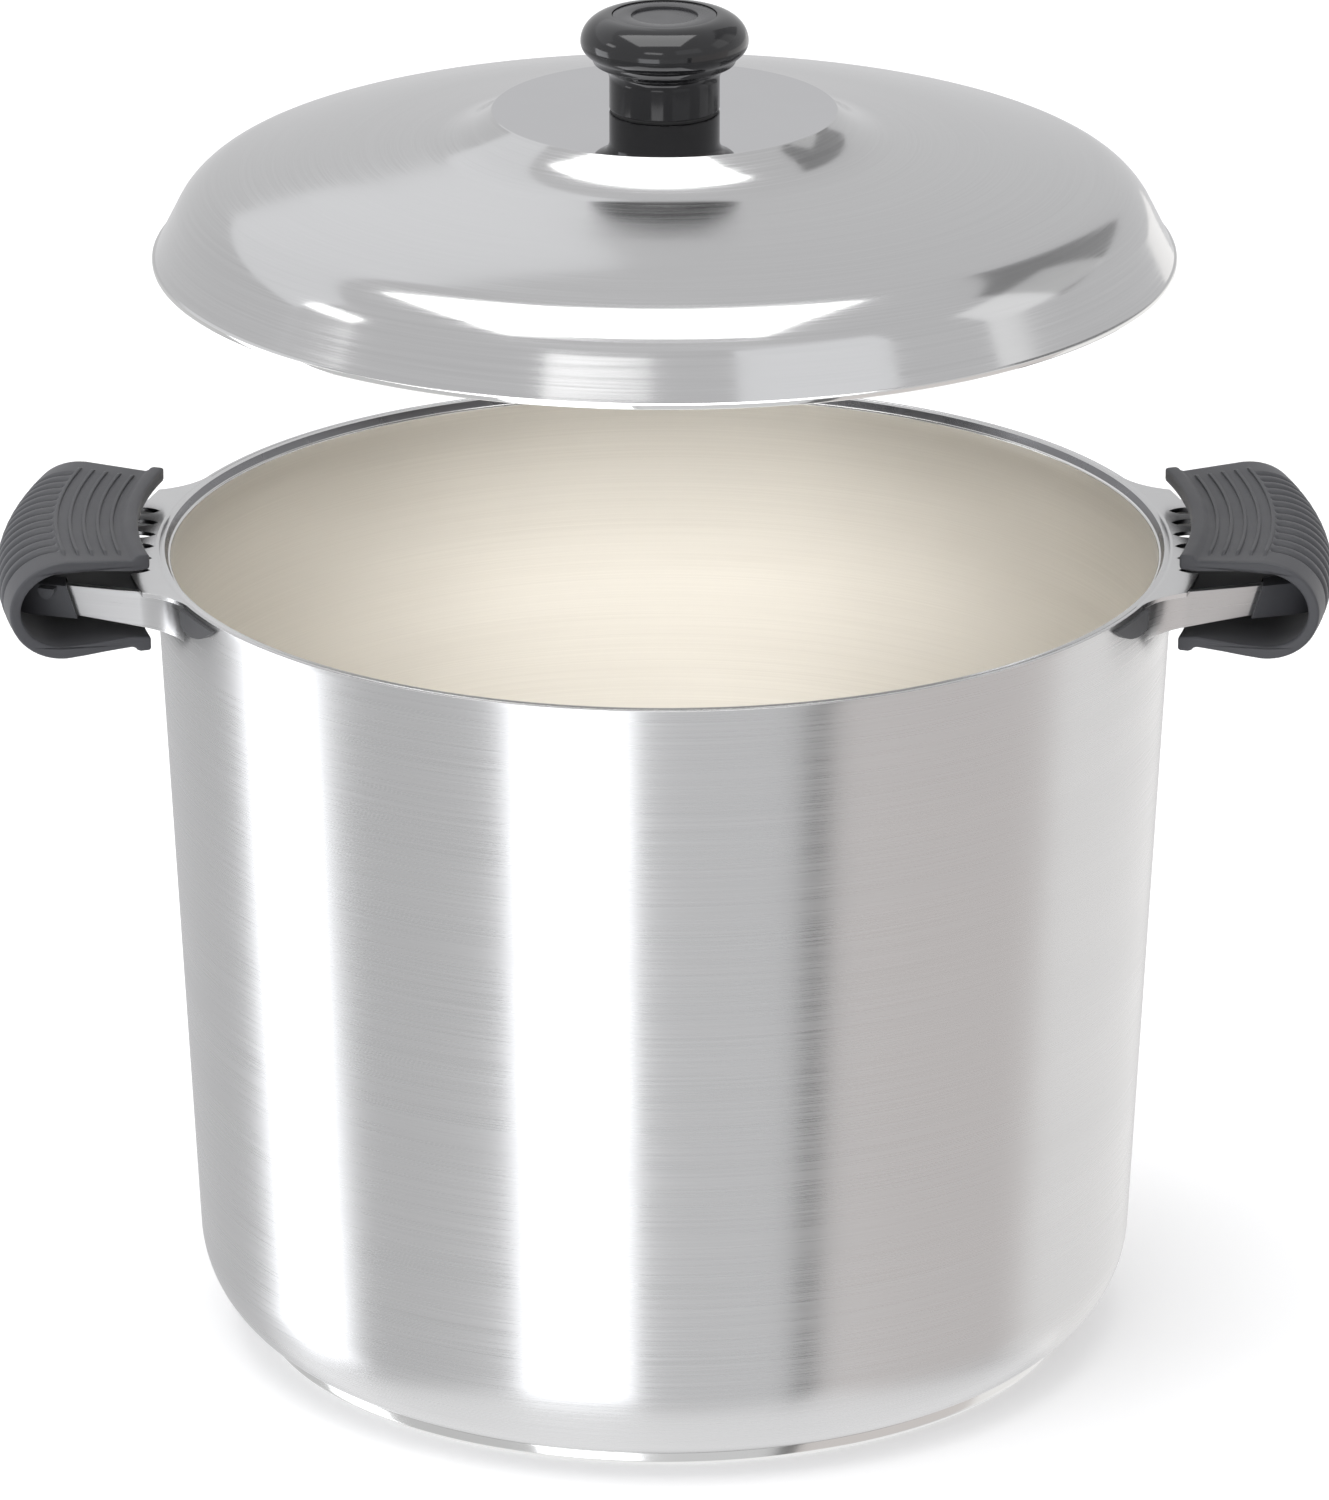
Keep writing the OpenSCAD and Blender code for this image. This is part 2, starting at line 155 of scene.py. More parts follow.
def finish_mesh(name, bm, material, body, nodes, sharp=35, turn=0):
    """Turns bmesh bm, in millimetres, into a piece that rides a body and stands for CAD nodes.
    Edges above the angle sharp stay crisp, and turn turns the piece about Z, both in degrees."""
    bmesh.ops.remove_doubles(bm, verts=bm.verts, dist=1e-4)
    bmesh.ops.recalc_face_normals(bm, faces=bm.faces)
    c, s = cos(radians(turn)), sin(radians(turn))
    for v in bm.verts:
        x, y, z = v.co
        v.co = ((x * c - y * s) * MM, (x * s + y * c) * MM, z * MM)
    mesh = bpy.data.meshes.new(name)
    bm.to_mesh(mesh)
    bm.free()
    for polygon in mesh.polygons:
        polygon.use_smooth = True
    mesh.set_sharp_from_angle(angle=radians(sharp))
    for m in material if isinstance(material, list) else [material]:
        mesh.materials.append(m)
    obj = bpy.data.objects.new(name, mesh)
    bpy.context.scene.collection.objects.link(obj)
    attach(obj, body)
    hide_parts(*nodes)
    return obj


def lathe(profile, turns=TURNS, paint=None):
    """A bmesh of a closed (radius, height) outline turned about Z. paint gives a face's material
    index from the middle of its stretch of outline."""
    bm = bmesh.new()
    rings = []
    for r, z in profile:
        if r < 1e-6:
            rings.append([bm.verts.new((0, 0, z))] * turns)
        else:
            angles = [2 * pi * k / turns for k in range(turns)]
            rings.append([bm.verts.new((r * cos(a), r * sin(a), z)) for a in angles])
    for i in range(len(rings)):
        a, b = rings[i], rings[(i + 1) % len(rings)]
        (ra, za), (rb, zb) = profile[i], profile[(i + 1) % len(rings)]
        if ra < 1e-6 and rb < 1e-6:
            continue
        index = paint((ra + rb) / 2, (za + zb) / 2) if paint else 0
        for k in range(turns):
            n = (k + 1) % turns
            corners = [a[k], a[n], b[n], b[k]]
            unique = [v for j, v in enumerate(corners) if v not in corners[:j]]
            if len(unique) > 2:
                bm.faces.new(unique).material_index = index
    return bm


def prism(outline, low, high, low_outline=None):
    """A bmesh of a closed (x, y) outline between two heights. low may be a function of x and y, and
    low_outline, with as many points, gives the lower face a different shape."""
    bm = bmesh.new()
    low_at = low if callable(low) else lambda x, y: low
    bottom = [bm.verts.new((x, y, low_at(x, y))) for x, y in low_outline or outline]
    top = [bm.verts.new((x, y, high)) for x, y in outline]
    bm.faces.new(bottom[::-1])
    bm.faces.new(top)
    for i in range(len(outline)):
        n = (i + 1) % len(outline)
        bm.faces.new((bottom[i], bottom[n], top[n], top[i]))
    return bm


def skin(bm, rings):
    """Adds the faces between each ring of points and the next."""
    for a, b in zip(rings, rings[1:]):
        for i in range(len(a)):
            n = (i + 1) % len(a)
            bm.faces.new((a[i], a[n], b[n], b[i]))


def bevel(obj, width, segments, angle=35):
    """Rounds the object's sharp edges, its width in millimetres."""
    m = obj.modifiers.new("edge", "BEVEL")
    m.width = width * MM
    m.segments = segments
    m.limit_method = "ANGLE"
    m.angle_limit = radians(angle)
    m.harden_normals = True


# ---------------------------------------------------------------- materials

# How far the grain's highlight is turned, as a share of a full turn
GRAIN_TURN = 0.25


class Nodes:
    """A small builder for one material's node tree."""

    def __init__(self, name):
        self.material = bpy.data.materials.new(name)
        self.material.use_nodes = True
        self.tree = self.material.node_tree
        self.shader = self.tree.nodes["Principled BSDF"]

    def add(self, kind, **values):
        """A new node, with each value set on the node or else on its socket of that name."""
        node = self.tree.nodes.new(kind)
        for key, value in values.items():
            if hasattr(node, key):
                setattr(node, key, value)
            else:
                node.inputs[key].default_value = value
        return node

    def link(self, source, target):
        self.tree.links.new(source, target)

    def place(self):
        """The point on the object, in metres, the same at every pose of its body."""
        return self.add("ShaderNodeTexCoord").outputs["Object"]

    def stretched(self, scale, concentric=False):
        """Coordinates scaled by (x, y, z); concentric swaps the height for the distance from Z."""
        source = self.place()
        if concentric:
            split = self.add("ShaderNodeSeparateXYZ")
            self.link(source, split.inputs[0])
            flat = self.add("ShaderNodeCombineXYZ")
            self.link(split.outputs[0], flat.inputs[0])
            self.link(split.outputs[1], flat.inputs[1])
            length = self.add("ShaderNodeVectorMath", operation="LENGTH")
            self.link(flat.outputs[0], length.inputs[0])
            joined = self.add("ShaderNodeCombineXYZ")
            self.link(split.outputs[0], joined.inputs[0])
            self.link(split.outputs[1], joined.inputs[1])
            self.link(length.outputs["Value"], joined.inputs[2])
            source = joined.outputs[0]
        scaled = self.add("ShaderNodeVectorMath", operation="MULTIPLY")
        self.link(source, scaled.inputs[0])
        scaled.inputs[1].default_value = scale
        return scaled.outputs[0]

    def noise(self, vector, scale=1, detail=4, rough=0.6):
        n = self.add("ShaderNodeTexNoise", Scale=scale, Detail=detail, Roughness=rough)
        self.link(vector, n.inputs["Vector"])
        return n.outputs["Fac"]

    def remap(self, value, low, high, start=0.3, end=0.7):
        """Stretches start to end over low to high. Noise mostly lies between 0.3 and 0.7."""
        m = self.add("ShaderNodeMapRange")
        self.link(value, m.inputs["Value"])
        for key, v in (("From Min", start), ("From Max", end), ("To Min", low), ("To Max", high)):
            m.inputs[key].default_value = v
        return m.outputs["Result"]

    def mix(self, factor, a, b):
        m = self.add("ShaderNodeMix", data_type="RGBA")
        self.link(factor, m.inputs["Factor"])
        m.inputs[6].default_value = (*a, 1)
        m.inputs[7].default_value = (*b, 1)
        return m.outputs[2]

    def bump(self, height, strength, distance):
        b = self.add("ShaderNodeBump", Strength=strength, Distance=distance)
        self.link(height, b.inputs["Height"])
        self.link(b.outputs[0], self.shader.inputs["Normal"])

    def set(self, **values):
        """Sets the shader's own sockets, with _ for each space in a name."""
        for key, value in values.items():
            self.shader.inputs[key.replace("_", " ")].default_value = value


def brushed(name, colour, dark, rough, anisotropy, concentric=False, grain=2600, depth=0.00002):
    """Steel with a fine grain that runs round the pot's axis."""
    n = Nodes(name)
    streak = n.noise(n.stretched((9, 9, grain), concentric), 1, 3, 0.65)
    broad = n.noise(n.stretched((5, 5, 60), concentric), 1, 3, 0.5)
    n.set(Metallic=1.0, Anisotropic=anisotropy, Anisotropic_Rotation=GRAIN_TURN)
    tangent = n.add("ShaderNodeTangent", direction_type="RADIAL", axis="Z")
    n.link(tangent.outputs[0], n.shader.inputs["Tangent"])
    n.link(n.mix(n.remap(streak, 0, 1, 0.25, 0.75), dark, colour), n.shader.inputs["Base Color"])
    total = n.add("ShaderNodeMath", operation="ADD")
    n.link(n.remap(streak, -0.05, 0.05), total.inputs[0])
    n.link(n.remap(broad, rough - 0.02, rough + 0.02), total.inputs[1])
    n.link(total.outputs[0], n.shader.inputs["Roughness"])
    n.bump(streak, 0.25, depth)
    return n.material


def polished(name, colour, rough=0.06):
    """Bright steel with faint polishing marks."""
    n = Nodes(name)
    haze = n.noise(n.stretched((40, 40, 40)), 1, 4, 0.6)
    n.set(Metallic=1.0)
    n.link(n.mix(haze, tuple(0.96 * c for c in colour), colour), n.shader.inputs["Base Color"])
    n.link(n.remap(haze, rough * 0.8, rough * 1.4), n.shader.inputs["Roughness"])
    return n.material


def soft_moulding(name, colour, light, rough=0.55):
    """Matte moulded silicone: a fine pebble, a little dust and faint flow marks."""
    n = Nodes(name)
    pebble = n.noise(n.stretched((1, 1, 1)), 2600, 2, 0.6)
    cloud = n.noise(n.stretched((1, 1, 1)), 60, 4, 0.6)
    n.link(n.mix(n.remap(cloud, 0, 1), colour, light), n.shader.inputs["Base Color"])
    n.link(n.remap(cloud, rough - 0.06, rough + 0.06), n.shader.inputs["Roughness"])
    n.set(Sheen_Weight=0.08, Sheen_Roughness=0.5)
    n.bump(pebble, 0.35, 0.00004)
    return n.material


def glossy_moulding(name, colour, rough):
    """Dark glossy plastic with a very slight orange peel."""
    n = Nodes(name)
    peel = n.noise(n.stretched((1, 1, 1)), 220, 2, 0.5)
    smear = n.noise(n.stretched((1, 1, 1)), 45, 4, 0.6)
    n.link(n.mix(n.remap(smear, 0, 1), colour, tuple(1.25 * c for c in colour)),
           n.shader.inputs["Base Color"])
    n.link(n.remap(smear, rough * 0.8, rough * 1.5), n.shader.inputs["Roughness"])
    n.bump(peel, 0.12, 0.00004)
    return n.material


def plain_metal(name, colour, dark, rough):
    """Cast or pressed metal with a mottled satin surface."""
    n = Nodes(name)
    mottle = n.noise(n.stretched((1, 1, 1)), 320, 5, 0.65)
    cloud = n.noise(n.stretched((1, 1, 1)), 40, 3, 0.5)
    n.set(Metallic=1.0)
    n.link(n.mix(n.remap(cloud, 0, 1), dark, colour), n.shader.inputs["Base Color"])
    n.link(n.remap(mottle, rough - 0.05, rough + 0.07), n.shader.inputs["Roughness"])
    n.bump(mottle, 0.2, 0.00003)
    return n.material


wall_steel = brushed("wall steel", (0.60, 0.60, 0.60), (0.54, 0.54, 0.54), 0.29, 0.88)
# The inside's steel is a lighter, warmer copy of the wall's steel: painted light for the lit inside
# of the pot.
lit_inside_steel = brushed("inside steel painted light", (0.82, 0.80, 0.76), (0.75, 0.73, 0.69), 0.45, 0.6)
dome_steel = brushed("dome steel", (0.62, 0.62, 0.62), (0.58, 0.58, 0.58), 0.14, 0.5, True,
                     depth=0.000008)
rim_steel = polished("rim steel", (0.66, 0.66, 0.66), 0.2)
# The step's steel is a much darker copy of the rim's steel: painted shade for the dark band round
# the seat.
shaded_step_steel = polished("step steel painted shade", (0.26, 0.26, 0.27), 0.25)
edge_steel = polished("edge steel", (0.72, 0.72, 0.71))
disc_steel = polished("disc steel", (0.59, 0.59, 0.60), 0.03)
band_steel = brushed("band steel", (0.60, 0.60, 0.60), (0.56, 0.56, 0.56), 0.30, 0.5, grain=1500)
# The band's boss takes a far lighter copy of the band's steel: a painted reflection, so it looks
# near white inside the grip.
lit_window_steel = plain_metal("window steel painted light", (0.92, 0.92, 0.92), (0.88, 0.88, 0.88), 0.6)
base_steel = polished("base steel", (0.68, 0.68, 0.67), 0.12)
core_metal = plain_metal("core aluminium", (0.74, 0.74, 0.74), (0.66, 0.66, 0.66), 0.4)
rack_metal = plain_metal("rack aluminium", (0.70, 0.71, 0.72), (0.62, 0.63, 0.64), 0.38)
silicone = soft_moulding("silicone", (0.036, 0.037, 0.042), (0.046, 0.047, 0.053))
# The pads under the rim take a darker copy of the grip's silicone: painted shade beneath the rim's
# edge.
shaded_pad_silicone = soft_moulding("pad silicone painted shade", (0.022, 0.023, 0.026), (0.030, 0.031, 0.035))
knob_plastic = glossy_moulding("knob plastic", (0.011, 0.011, 0.012), 0.09)
cap_plastic = glossy_moulding("knob cap plastic", (0.016, 0.016, 0.018), 0.2)
brass = plain_metal("insert brass", (0.74, 0.56, 0.26), (0.62, 0.46, 0.2), 0.3)
zinc = plain_metal("screw zinc", (0.62, 0.62, 0.62), (0.5, 0.5, 0.5), 0.25)
gasket_rubber = soft_moulding("gasket rubber", (0.02, 0.02, 0.02), (0.03, 0.03, 0.03), 0.6)


# ---------------------------------------------------------------- pot

def wall_r(z):
    """The wall's outer radius at a height."""
    return RIM_R - (POT_H - z) * tan(radians(WALL_SLOPE))


def corner_centre():
    """The centre of the arc at the wall's foot, which meets the wall and the base's edge."""
    slope = radians(WALL_SLOPE)
    foot = wall_r(0) - CORNER_R / cos(slope)
    inward = BASE_R - foot
    b = inward * tan(slope) + BASE_H
    a = 1 + tan(slope) ** 2
    z = (b + sqrt(b * b - a * (inward ** 2 + BASE_H ** 2 - CORNER_R ** 2))) / a
    return foot + z * tan(slope), z


def pot_profile():
    """The pot's closed outline: outside corner, wall, rim, seat, inside wall and floor."""
    x, z = corner_centre()
    seam = degrees(atan2(BASE_H - z, BASE_R - x))
    inner_r = CORNER_R - WALL_T
    floor_z = BASE_H + WALL_T
    floor_angle = degrees(asin((floor_z - z) / inner_r))
    wall_heights = (80, 140, 200)
    edge_r, groove_r, groove_depth = 0.2, RIM_R - 1.3, 0.14
    flat_r = RIM_R - RIM_FLAT
    shoulder_r, lip_r = 0.3, 0.8
    lip = (flat_r - STEP_W, POT_H - STEP_DROP - lip_r)
    step_angle = degrees(atan2(STEP_DROP, STEP_W))
    points = [(0, BASE_H)] + arc(x, z, CORNER_R, seam, -WALL_SLOPE, 28)
    points += [(wall_r(h), h) for h in (*wall_heights, POT_H - 2)]
    points += arc(RIM_R - edge_r, POT_H - edge_r, edge_r, 0, 90, 4) + [(RIM_R - 0.25, POT_H)]
    points += [(groove_r + offset, POT_H - depth) for offset, depth in
               ((0.2, 0), (0.15, 0.02), (0, groove_depth), (-0.15, 0.02), (-0.2, 0))]
    points += [(flat_r + 0.3, POT_H)]
    points += arc(flat_r + 0.2, POT_H - shoulder_r, shoulder_r, 90, 90 + step_angle, 4)
    points += arc(*lip, lip_r, 90, 180, 8)
    points += [(lip[0] - lip_r, POT_H - 7), (wall_r(POT_H - 14) - WALL_T, POT_H - 14)]
    points += [(wall_r(h) - WALL_T, h) for h in wall_heights[::-1]]
    points += arc(x, z, inner_r, -WALL_SLOPE, floor_angle, 24)
    points += [(110, floor_z), (0, floor_z)]
    return points


def pot_paint(r, z):
    """0 the wall outside, 1 the rim, 2 the inside, in a steel lightened with painted light, 3 the
    step, in a steel darkened with painted shade, 4 the lip inside it.
    """
    flat_r = RIM_R - RIM_FLAT
    step_r = flat_r - STEP_W + 0.1
    inner = r < wall_r(z) - WALL_T / 2
    if step_r < r < flat_r + 0.02 and z > POT_H - 3:
        return 3
    if r <= step_r and z > POT_H - 3.2:
        return 4
    if z > POT_H - 3.6 and (inner or z > POT_H - 0.3):
        return 1
    return 2 if inner and z > BASE_H + WALL_T / 2 and not outside_corner(r, z) else 0


def outside_corner(r, z):
    """Whether a point is on the outside of the arc at the wall's foot."""
    x, top = corner_centre()
    return z < top and hypot(r - x, z - top) > CORNER_R - WALL_T / 2 and r > x - 30


pot_wall = finish_mesh("pot_wall", lathe(pot_profile(), paint=pot_paint),
                       [wall_steel, rim_steel, lit_inside_steel, shaded_step_steel, edge_steel],
                       "pot", ["pot_shell"], 30)


def plate_outline():
    """Plan of the rim's flared plate on the +X side, with its pointed notches."""
    flare_r, half_w = 26, 51
    tip_x, width, pitch, count = RIM_R + 0.1, 6.4, 12, 6
    point, notch_steps = 0.9 * width, 6
    round_r = (point ** 2 + (width / 2) ** 2) / width
    flare_y = half_w + flare_r
    flare_x = sqrt((RIM_R + flare_r - 0.1) ** 2 - flare_y ** 2)
    meet = degrees(atan2(-flare_y, -flare_x)) % 360
    # The flare ends where its circle crosses the plate's outer arc
    gap = hypot(flare_x, flare_y)
    along = (PLATE_R ** 2 - flare_r ** 2 + gap ** 2) / (2 * gap)
    across = sqrt(PLATE_R ** 2 - along ** 2)
    ux, uy = flare_x / gap, flare_y / gap
    cross = (along * ux + across * uy, along * uy - across * ux)
    leave = degrees(atan2(cross[1] - flare_y, cross[0] - flare_x)) % 360
    # One side of a notch, from its point outwards
    notch = []
    for k in range(notch_steps + 1):
        d = point * k / notch_steps
        notch.append((tip_x + d, sqrt(round_r ** 2 - (point - d) ** 2) - (round_r - width / 2)))
    half = []
    for i in range(count // 2):
        middle = (i + 0.5) * pitch
        mouth = (middle - width / 2, middle + width / 2)
        first, last = [(sqrt(PLATE_R ** 2 - y ** 2), y) for y in mouth]
        half += [first] + [(x, middle - y) for x, y in notch[::-1]]
        half += [(x, middle + y) for x, y in notch[1:]] + [last]
    half += arc(0, 0, PLATE_R, 13.5, 15.5, 1) + arc(flare_x, flare_y, flare_r, leave, meet, 14)
    top_angle = degrees(atan2(half[-1][1], half[-1][0]))
    inner = arc(0, 0, RIM_R - 2.2, top_angle, -top_angle, 24)
    return [(x, -y) for x, y in half[::-1]] + half + inner


for turn, side in SIDES:
    # Its top is a hair below the rim's, so the two faces don't fight
    plate = finish_mesh("rim_plate_" + side, prism(plate_outline(), POT_H - PLATE_T, POT_H - 0.005),
                        rim_steel, "pot", ["pot_shell"], 30, turn)
    bevel(plate, 0.22, 2)


# ---------------------------------------------------------------- base

def base_cap_profile():
    """The closed outline of the dish under the pot."""
    sheet_t, edge_r, top_r = 0.8, 1.6, 0.25
    inner = BASE_R - sheet_t
    return ([(0, 0), (60, 0)] + arc(BASE_R - edge_r, edge_r, edge_r, -90, 0, 8)
            + [(BASE_R, BASE_H - 2 * top_r)] + arc(BASE_R - top_r, BASE_H - top_r, top_r, 0, 90, 3)
            + [(inner, BASE_H), (inner, sheet_t), (0, sheet_t)])


base_cap = finish_mesh("base_cap_sheet", lathe(base_cap_profile()), base_steel, "pot", ["base_cap"])


# ---------------------------------------------------------------- handle bands

# Unit vectors in plan: the way the +X, +Y arm runs, and square to it, outwards
ALONG = Vector((cos(radians(ARM_SLANT)), -sin(radians(ARM_SLANT))))
ACROSS = Vector((sin(radians(ARM_SLANT)), cos(radians(ARM_SLANT))))


def band_line(inset, bar):
    """Half of the band's outline in plan, from where the arm's line ends to the middle of the bar:
    the bend's arc, then the bar's. inset is the depth below the band's outer face."""
    line = ARM_OFFSET - inset
    bend = BAR_BEND_R - inset
    far = bar - inset - bend
    c = ACROSS * (line - bend) + ALONG * sqrt(far ** 2 - (line - bend) ** 2)
    bar_angle = degrees(atan2(c.y, c.x))
    points = arc(c.x, c.y, bend, 90 - ARM_SLANT, bar_angle, 10)
    return points + arc(0, 0, bar - inset, bar_angle, 0, 8)[1:]


def on_arm(inset, x):
    """The point of the arm's line at that X."""
    line = ACROSS * (ARM_OFFSET - inset)
    p = line + ALONG * ((x - line.x) / ALONG.x)
    return (p.x, p.y)


def mirrored(half):
    """A half outline whose last point is on the X axis, then its mirror image."""
    return half + [(x, -y) for x, y in half[-2::-1]]


def strap_outline(z):
    """Plan of the +X band at a height, its roots flared against the wall."""
    root_r = 22
    at_wall = wall_r(z)
    reach, off = at_wall + root_r, ARM_OFFSET + root_r
    c = ACROSS * off + ALONG * sqrt(reach ** 2 - off ** 2)
    on_wall = degrees(atan2(-c.y, -c.x)) % 360
    at_arm = degrees(atan2(-ACROSS.y, -ACROSS.x)) % 360
    root = arc(c.x, c.y, root_r, on_wall, at_arm, 10)
    deep = Vector(root[0]) * ((at_wall - 1) / at_wall)
    outer = [(deep.x, deep.y)] + root + band_line(0, BAR_R)
    inner = [on_arm(BAND_T, RIM_R - 8.5)] + band_line(BAND_T, BAR_R)
    return mirrored(outer) + mirrored(inner)[::-1]


def band_low(x, y):
    """The band's lower edge, which rises towards the bar."""
    start, run = RIM_R - 8, 34
    return BAND_TOP - BAND_H + max(0, x - start) * (BAND_H - BAND_END_H) / run


for turn, side in SIDES:
    # Its top is a hair below the CAD band's
    blank = prism(strap_outline(BAND_TOP), band_low, BAND_TOP - 0.02,
                  strap_outline(BAND_TOP - BAND_H))
    strap = finish_mesh("handle_band_" + side, blank, band_steel, "pot", ["strap_" + side],
                        25, turn)
    bevel(strap, 0.3, 3, 40)


# ---------------------------------------------------------------- grips

RIDGE_PITCH = 4.45
RIDGES = [RIM_R + 13.7 + RIDGE_PITCH * i for i in range(5)]
# A ridge across its width, as (distance from its middle, share of its height)
RIDGE_SHAPE = ((-0.66, 0), (-0.54, 0.88), (-0.36, 1), (0.24, 1), (0.42, 0.88), (0.54, 0))
RIDGE_H = 0.8
GROOVE_COUNT = 13
GROOVE_PITCH = 1.89
GROOVE_DEPTH = 2.3
# Half of a groove across its width, as (share of the pitch from its middle, share of its depth)
GROOVE_SHAPE = ((0.42, 0), (0.32, 0.05), (0.23, 0.18), (0.15, 0.48), (0.07, 0.88))
END_ROUND = 0.8


def grip_section():
    """The grip's closed section, as (radius, height from its middle, outward normal, ridge,
    groove): how far the ridges lift a point, and how deep the nose's grooves are there."""
    lip = RIM_R + 5.2
    nose_w, nose_up, nose_down = 18.3, GRIP_HALF_H - 0.1, GRIP_HALF_H + 0.5
    c = NOSE_R - nose_w
    inner_w, inner_h = nose_w - GRIP_T, GRIP_HALF_H - GRIP_T
    groove_from = RIDGES[-1] + 0.8
    # The bead along the flap's edge, then the flap, then the nose
    bead = [(lip + 0.8, 16.05), (lip + 3.4, 16.1), (lip + 4.4, 15.7), (lip + 5.1, 14.9),
            (lip + 6.2, 14.5)]
    flap_r, flap_u = bead[-1]
    slope = (nose_up - flap_u) / (c - 1 - flap_r)
    top = [(r, u, 0) for r, u in bead]
    for ridge in RIDGES:
        for offset, lift in RIDGE_SHAPE:
            r = ridge + offset
            top.append((r, flap_u + (r - flap_r) * slope, lift))
    nose = [radians(90 - k * 4.5) for k in range(21)]
    top += [(c + nose_w * cos(a), nose_up * sin(a), 0) for a in nose]
    low = [(c + nose_w * cos(a), -nose_down * sin(a), 0) for a in nose[-2::-1]]
    low += [(c - 6, -16.0, 0), (c - 13, -15.2, 0)] + [(r, -u, 0) for r, u in bead[::-1]]
    turns_in = [radians(k * 9) for k in range(11)]
    half_in = [(c + inner_w * cos(a), inner_h * sin(a)) for a in turns_in]
    half_in += [(c - 7, 12.3), (lip + 6, 11.0), (lip + 0.9, 11.2), (lip + 0.25, 11.6), (lip, 12.4),
                (lip, 15.3), (lip + 0.25, 15.8)]
    inside = [(r, -u, 0) for r, u in half_in[::-1]] + [(r, u, 0) for r, u in half_in[1:]]
    loop = top + low + inside
    outside = len(top) + len(low)
    section = []
    for i, (r, u, ridge) in enumerate(loop):
        before, after = Vector(loop[i - 1][:2]), Vector(loop[(i + 1) % len(loop)][:2])
        along = (after - before).normalized()
        groove = fade(r, groove_from, groove_from + 1.2) if i < outside else 0
        section.append((r, u, Vector((-along.y, along.x)), ridge, groove))
    return section


def fade(x, start, end):
    """A smooth step from 0 at start to 1 at end."""
    t = max(0, min(1, (x - start) / (end - start)))
    return t * t * (3 - 2 * t)


def grip_rows():
    """The sweep's stations as (angle, how deep the grooves are there, how far the end's edge has
    rounded in), from one end of the grip to the other."""
    cap = degrees(END_ROUND / NOSE_R)
    rounding = [(GRIP_TURN - cap * (1 - cos(radians(t))), 0, END_ROUND * (1 - sin(radians(t))))
                for t in (0, 22.5, 45, 67.5, 90)]
    first = -GROOVE_PITCH * (GROOVE_COUNT - 1) / 2
    shape = [(-share, depth) for share, depth in GROOVE_SHAPE] + [(0, 1)] + list(GROOVE_SHAPE[::-1])
    grooves = [(first + GROOVE_PITCH * (k + share), depth, 0)
               for k in range(GROOVE_COUNT) for share, depth in shape]
    margin = [(a, 0, 0) for a in (14.6, 13.6, 13.1, 12.6, 12.1)]
    return ([(-a, depth, inset) for a, depth, inset in rounding + margin] + grooves
            + margin[::-1] + rounding[::-1])


def grip_shell():
    """The grip's C-shaped shell, swept about the pot's axis on the +X side."""
    section = grip_section()
    # The ridges stop between these angles, in degrees from the grip's end
    stop, full = 2.2, 2.7
    bm = bmesh.new()
    rings = []
    for angle, depth, inset in grip_rows():
        ridged = fade(GRIP_TURN - abs(angle), stop, full)
        turn = Vector((cos(radians(angle)), sin(radians(angle))))
        ring = []
        for r, u, normal, ridge, groove in section:
            lift = ridge * RIDGE_H * ridged - depth * groove * GROOVE_DEPTH - inset
            rr, uu = r + normal.x * lift, u + normal.y * lift
            ring.append(bm.verts.new((rr * turn.x, rr * turn.y, GRIP_MID + uu)))
        rings.append(ring)
    skin(bm, rings)
    flat = tessellate_polygon([[Vector((r, u, 0)) for r, u, *_ in section]])
    for ring in (rings[0], rings[-1]):
        for corners in flat:
            bm.faces.new([ring[i] for i in corners])
    return bm


SLEEVE_TOP = BAND_TOP + 1.2
SLEEVE_H = 12.6
SLEEVE_T = 1.8
SLEEVE_FROM = 187
SLEEVE_LEAN = 4
WINDOW_X = 196.3
WINDOW_DROP = 1.5
WINDOW_HALF_W = 2.7
WINDOW_H = 3.5
# The band's boss stands in the window with a gap all round and a little behind the sleeve's face
BOSS_GAP = 0.1
BOSS_BEHIND = 0.35


def sleeve():
    """The grip's web: a sleeve round the band's bar, filled out to the nose."""
    outer_bar = NOSE_R - GRIP_T - 0.5
    low, high = SLEEVE_TOP - SLEEVE_H, SLEEVE_TOP
    corner, waist = 1.0, low + 6
    # The web's section, as (side, height). Side 0 is the outer face and 1 the inner one. Others are
    # distances in millimetres from the outer face, or, below 0, from the inner one.
    section = [(0, low + corner), (0, waist), (0, high - corner), (corner, high),
               (-corner, high), (1, high - corner), (1, waist), (1, low + corner),
               (-corner, low), (corner, low)]

    def paths(z):
        x = SLEEVE_FROM + SLEEVE_LEAN * (z - SLEEVE_TOP + SLEEVE_H) / SLEEVE_H
        deep = BAND_T + SLEEVE_T
        outer = [on_arm(-SLEEVE_T, x), on_arm(-SLEEVE_T, x + 0.4)] + band_line(-SLEEVE_T, outer_bar)
        inner = [on_arm(deep, x), on_arm(deep, x + 0.4)] + band_line(deep, BAR_R)
        return mirrored(outer), mirrored(inner)

    paths_at = {z: paths(z) for _, z in section}
    bm = bmesh.new()
    rings = []
    for i in range(len(paths_at[high][0])):
        ring = []
        for side, z in section:
            outer, inner = paths_at[z]
            o, n = Vector(outer[i]), Vector(inner[i])
            width = (n - o).length
            share = side if side in (0, 1) else (side / width if side > 0 else 1 + side / width)
            p = o.lerp(n, share)
            ring.append(bm.verts.new((p.x, p.y, z)))
        rings.append(ring)
    skin(bm, rings)
    bm.faces.new(rings[0])
    bm.faces.new(rings[-1][::-1])
    return bm


